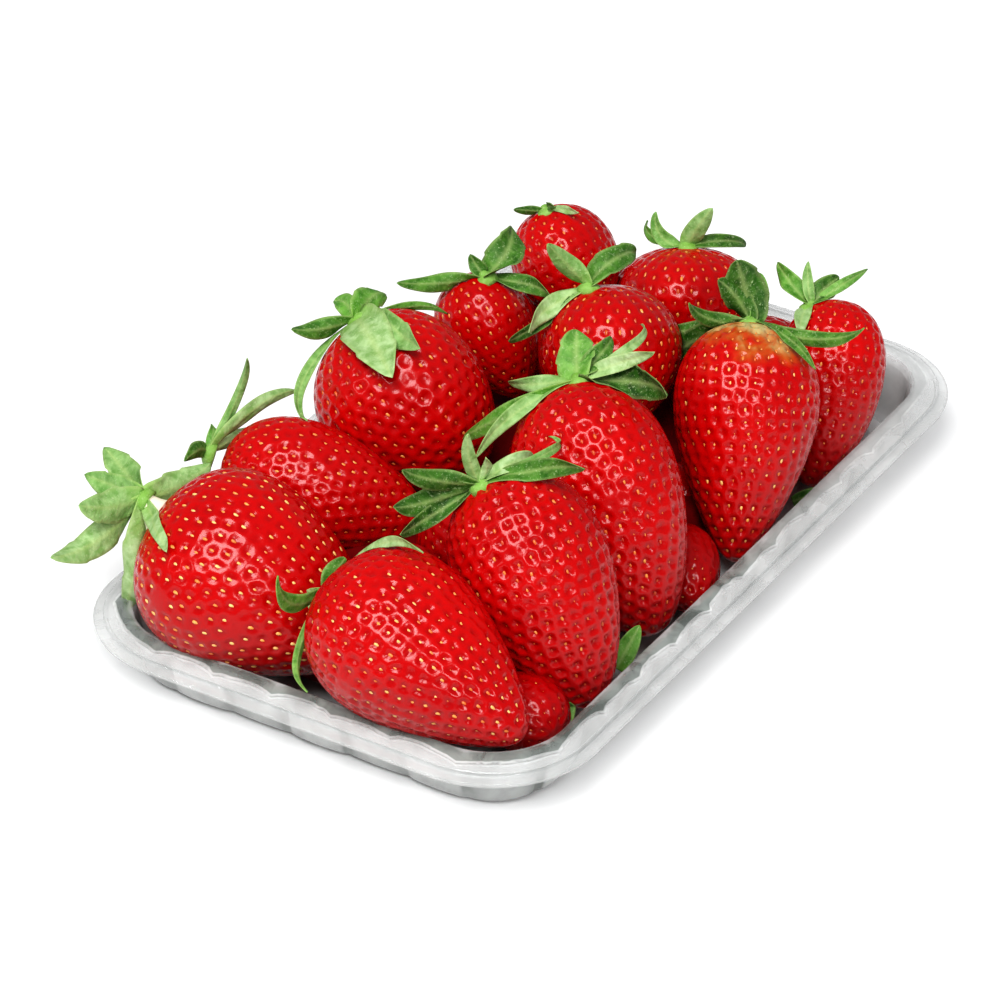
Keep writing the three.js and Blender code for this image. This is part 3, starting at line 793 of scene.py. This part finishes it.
def lathed(profile, sides, root, stem, level, up):
    """Points and faces of a closed shape of (height, radius) steps turned about a stem."""
    points = [root + stem * height + radius * (level * math.cos(a) + up * math.sin(a))
              for height, radius in profile for a in circle(sides)]
    return np.array(points), capped_faces(len(profile), sides)


def hub(leaves, shape):
    """The small green dome that the leaves grow from."""
    profile = [(-1.5, HUB_RADIUS), (0.0, HUB_RADIUS * 0.97), (0.6, HUB_RADIUS * 0.75),
               (1.0, HUB_RADIUS * 0.45), (1.5, HUB_RADIUS * 0.3), (1.7, HUB_RADIUS * 0.12)]
    points, faces = lathed(profile, HUB_SIDES, root_of(shape), *axes_of(shape))
    leaves.add(points, faces, tone=0.3, vein=0.1, share=0.0)


def neck(shape, material):
    """The pale neck that lifts a berry's cap off its crown."""
    stem, level, up = axes_of(shape)
    foot = np.array(shape["crown"], float) - stem * NECK_ROOT
    reach = root_of(shape) - foot
    length = np.linalg.norm(reach)
    steps = np.linspace(0, 1, NECK_STEPS)
    profile = [(length * t, NECK_FLARE * (1 - t) ** NECK_CURVE + NECK_RADIUS) for t in steps]
    points, faces = lathed(profile, NECK_SIDES, foot, unit(reach), level, up)
    height = np.repeat(steps, NECK_SIDES)
    place(new_mesh("neck", points, faces, material, height=height), "strawberries")


def signed_root(value):
    return math.copysign(math.sqrt(abs(value)), value)


def painted_shade_core(material):
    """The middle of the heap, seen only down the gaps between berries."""
    table = np.array(CORE_RINGS, float)
    points = []
    for z in np.linspace(table[0, 2], table[-1, 2], CORE_LAYERS):
        half_x = np.interp(z, table[:, 2], table[:, 0])
        half_y = np.interp(z, table[:, 2], table[:, 1])
        for a in circle(CORE_SIDES):
            ripple = 1 - CORE_RIPPLE + CORE_RIPPLE * math.sin(7 * a + z)
            points.append((half_x * ripple * signed_root(math.cos(a)),
                           half_y * ripple * signed_root(math.sin(a)), z))
    faces = capped_faces(CORE_LAYERS, CORE_SIDES)
    place(new_mesh("painted_shade_core", np.array(points), faces, material), "strawberries")


# ---- the tray ----

def spokes(count):
    """Places evenly round the wall: x, y of the plan's inner frame, heading out, flute phase."""
    cx = TRAY_LENGTH / 2 - TRAY_CORNER
    cy = TRAY_WIDTH / 2 - TRAY_CORNER
    turn = math.pi / 2 * (TRAY_CORNER - FLANGE - WALL_DRAFT)
    corners = [(cx, -cy), (cx, cy), (-cx, cy), (-cx, -cy)]
    runs = []
    for i, start in enumerate(corners):
        end = corners[(i + 1) % 4]
        runs.append((math.dist(start, end), start, end, i * 90, i * 90))
        runs.append((turn, end, end, i * 90, i * 90 + 90))
    total = sum(run[0] for run in runs)
    places = []
    for k in range(count):
        along = k / count * total
        i = 0
        while along > runs[i][0]:
            along -= runs[i][0]
            i += 1
        length, start, end, low, high = runs[i]
        t = along / length
        places.append((start[0] + (end[0] - start[0]) * t, start[1] + (end[1] - start[1]) * t,
                       math.radians(low + (high - low) * t), k / count * FLUTES))
    return np.array(places)


def fluting(phase):
    """How far the wall stands out: 0 in a groove, 1 on a full flute and less on a short one."""
    wave = np.sin(2 * math.pi * phase)
    height = np.abs(wave) ** 0.5
    return np.where(wave > 0, height, SHORT_FLUTE * height)


def smooth_line(line, parts):
    """A line of points made finer by a curve through them."""
    padded = np.vstack([2 * line[0] - line[1], line, 2 * line[-1] - line[-2]])
    fine = []
    for i in range(1, len(padded) - 2):
        a, b, c, d = padded[i - 1:i + 3]
        for t in np.arange(parts) / parts:
            fine.append(0.5 * (2 * b + (c - a) * t + (2 * a - 5 * b + 4 * c - d) * t ** 2
                               + (3 * b - a - 3 * c + d) * t ** 3))
    return np.array([*fine, line[-1]])


def tray_section():
    """Rows of inset, height and share of the flutes' depth, over the sheet and back under it."""
    foot = FLANGE + WALL_DRAFT
    skin = smooth_line(np.array([
        (foot + 5, SHEET, 0), (foot + 1.5, SHEET, 0.3), (foot - 0.2, SHEET + 2.2, 1),
        (FLANGE + 1.3, RIM_HEIGHT - 4.2, 1), (FLANGE + 0.3, RIM_HEIGHT - 1.6, 0),
        (FLANGE - 0.7, RIM_HEIGHT, 0), (2.6, RIM_HEIGHT - 1.2, 0), (2.0, RIM_HEIGHT - 2, 0),
        (0, RIM_HEIGHT - FLANGE_DROP, 0)]), SECTION_PARTS)
    before = np.vstack([skin[:1], skin[:-1]])
    after = np.vstack([skin[1:], skin[-1:]])
    out = before[:, 0] - after[:, 0]
    rise = after[:, 1] - before[:, 1]
    scale = SHEET / np.hypot(out, rise)
    under = np.stack([skin[:, 0] - rise * scale, skin[:, 1] - out * scale, skin[:, 2]], 1)
    return np.vstack([skin, under[::-1]])


def tray(material):
    """The clear tray: its section taken round the plan, with flutes in the wall."""
    section = tray_section()
    x, y, heading, phase = spokes(FLUTES * FLUTE_STEPS).T
    wave = fluting(phase)
    rings = []
    for inset, height, flute in section:
        reach = TRAY_CORNER - inset + FLUTE_DEPTH * flute * wave
        rings.append(np.stack([x + reach * np.cos(heading), y + reach * np.sin(heading),
                               np.full(len(x), height)], 1))
    points = np.vstack(rings)
    # near is how strongly the sheet shows its painted reflection band; it fades out towards +x
    near = np.clip((REFLECTION_END - points[:, 0]) / REFLECTION_FADE, 0, 1)
    obj = new_mesh("clear_tray", points, capped_faces(len(rings), len(x)), material,
                   inset=np.repeat(section[:, 0], len(x)), wave=np.tile(wave, len(rings)),
                   near=near)
    place(obj, "tray")


# ---- the scene ----

def camera():
    """The photo's view, by its azimuth, elevation and distance from the target."""
    azimuth = math.radians(CAMERA_AZIMUTH)
    elevation = math.radians(CAMERA_ELEVATION)
    towards = np.array((math.sin(azimuth) * math.cos(elevation),
                        -math.cos(azimuth) * math.cos(elevation), math.sin(elevation)))
    data = bpy.data.cameras.new("camera")
    data.lens = CAMERA_LENS
    data.sensor_width = CAMERA_SENSOR
    data.clip_start = CAMERA_CLIP
    obj = bpy.data.objects.new("camera", data)
    bpy.context.scene.collection.objects.link(obj)
    obj.location = np.array(CAMERA_TARGET) * MM + towards * CAMERA_DISTANCE
    obj.rotation_euler = (math.pi / 2 - elevation, 0, azimuth)
    bpy.context.scene.camera = obj


def area_light(name, location, size, power):
    """A square light that points at the heap."""
    data = bpy.data.lights.new(name, "AREA")
    data.size = size
    data.energy = power
    obj = bpy.data.objects.new(name, data)
    obj.location = location
    bpy.context.scene.collection.objects.link(obj)
    aim = unit(np.subtract(LIGHTS_AIM, location))
    obj.rotation_euler = (math.acos(-aim[2]), 0, math.atan2(aim[1], aim[0]) - math.pi / 2)


def white_floor():
    """A white floor under the tray."""
    n = Nodes("floor_white")
    n.set(Base_Color=FLOOR_COLOUR, Roughness=0.9, Specular_IOR_Level=0.1)
    corners = [(x * FLOOR_REACH, y * FLOOR_REACH, 0) for x, y in ((-1, -1), (1, -1), (1, 1), (-1, 1))]
    mesh = bpy.data.meshes.new("floor")
    mesh.from_pydata(corners, [], [(0, 1, 2, 3)])
    mesh.materials.append(n.material)
    floor = bpy.data.objects.new("floor", mesh)
    bpy.context.scene.collection.objects.link(floor)


def surroundings():
    """The floor, a pale sky, the lights and the way the picture's colours are shown."""
    white_floor()
    world = bpy.data.worlds.new("world")
    bpy.context.scene.world = world
    world.use_nodes = True
    sky = world.node_tree.nodes["Background"]
    sky.inputs["Color"].default_value = SKY_COLOUR
    sky.inputs["Strength"].default_value = SKY_STRENGTH
    for light in LIGHTS:
        area_light(*light)
    bpy.context.scene.view_settings.view_transform = "Standard"
    bpy.context.scene.view_settings.look = "Medium High Contrast"


def build():
    camera()
    flesh = flesh_material()
    green = leaf_material()
    seeds = Heap()
    leaves = Heap()
    small_seeds = Heap()
    skins = [(middle_of(shape), plain_skin(shape, index)) for index, shape in enumerate(UPPER)]
    seed_mesh = seed_shape(SEED_STEPS, UPPER_SEED_SIDES)
    for index, shape in enumerate(UPPER):
        berry(f"berry_{index + 1:02d}", shape, index, UPPER_CELL, seeds, seed_mesh, flesh)
        hub(leaves, shape)
        for data in shape["leaves"]:
            leaf(leaves, shape, data, skins)
    for root, end, data in LOOSE_LEAVES:
        leaf(leaves, dict(crown=root, tip=end), data, skins)
    seed_mesh = seed_shape(SEED_STEPS, FILLER_SEED_SIDES)
    for index, (crown, tip, width) in enumerate(FILLERS):
        shape = dict(crown=crown, tip=tip, width=width, **FILLER_LOOKS)
        berry(f"small_berry_{index + 1:02d}", shape, index, FILLER_CELL, small_seeds, seed_mesh, flesh)
    seed = seed_material()
    place(seeds.mesh("seeds", seed), "strawberries")
    place(small_seeds.mesh("small_seeds", seed), "strawberries")
    place(leaves.mesh("leaves", green), "strawberries")
    neck(UPPER[0], neck_material())
    painted_shade_core(core_shade_material())
    tray(plastic_material())
    surroundings()


build()
